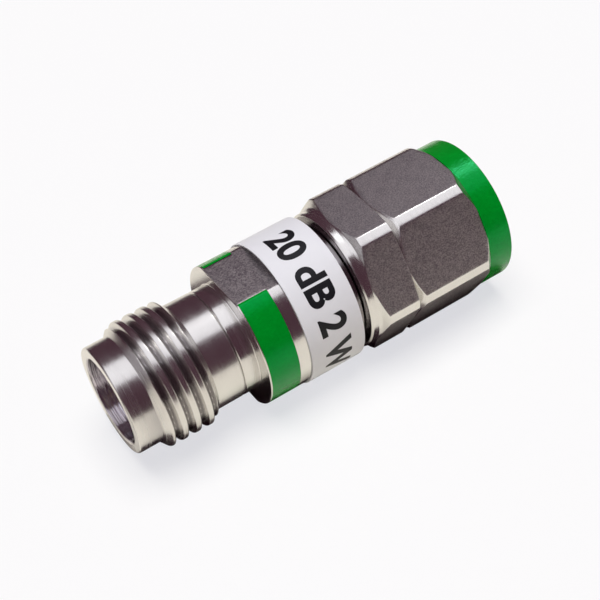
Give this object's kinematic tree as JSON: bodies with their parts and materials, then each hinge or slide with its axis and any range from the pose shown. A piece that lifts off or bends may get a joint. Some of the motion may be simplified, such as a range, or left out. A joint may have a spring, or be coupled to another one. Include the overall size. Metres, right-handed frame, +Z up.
{
  "type": "coaxial rf attenuator",
  "caption": "Small inline coaxial attenuator: threaded jack, round barrel with wrench flats and label, and a plug with a freely turning hexagon coupling nut.",
  "frame": {"origin": "centre of the jack's open face", "axes": "+X along the axis from the jack to the plug, +Z up, square to a flat of the coupling nut and to the barrel's wrench flats"},
  "size_m": [0.0224, 0.009, 0.0082],
  "materials": {
    "turned_steel": "polished turned stainless steel",
    "barrel_steel": "turned stainless steel with matt milled flats",
    "nut_steel": "stainless steel, matt hexagon flats and bright turned corners",
    "plated_contact": "gold plated",
    "plated_brass": "gold plated, satin",
    "spring_bronze": "plain spring bronze",
    "bead_plastic": "matt natural plastic",
    "card_ceramic": "white ceramic",
    "green_enamel": "semi-gloss green enamel",
    "label_film": "white label film, semi-gloss"
  },
  "bodies": {
    "attenuator": {"jack_shell": "turned_steel", "jack_bead": "bead_plastic", "jack_sleeve": "plated_brass", "jack_contact": "plated_contact", "jack_stub": "plated_contact", "barrel": "barrel_steel", "barrel_colour_band": "green_enamel", "label": "label_film", "carrier_lower": "plated_brass", "carrier_upper": "plated_brass", "attenuator_card": "card_ceramic", "plug_shell": "turned_steel", "plug_bead": "bead_plastic", "plug_sleeve": "plated_brass", "plug_pin": "plated_contact", "plug_stub": "plated_contact", "retaining_ring": "spring_bronze"},
    "nut": {"coupling_nut": "nut_steel", "nut_colour_ring": "green_enamel"}
  },
  "joints": [
    {"name": "nut_spin", "type": "hinge", "parent": "attenuator", "child": "nut", "pos_m": [0.018, 0, 0], "axis": [1, 0, 0], "continuous": true}
  ]
}
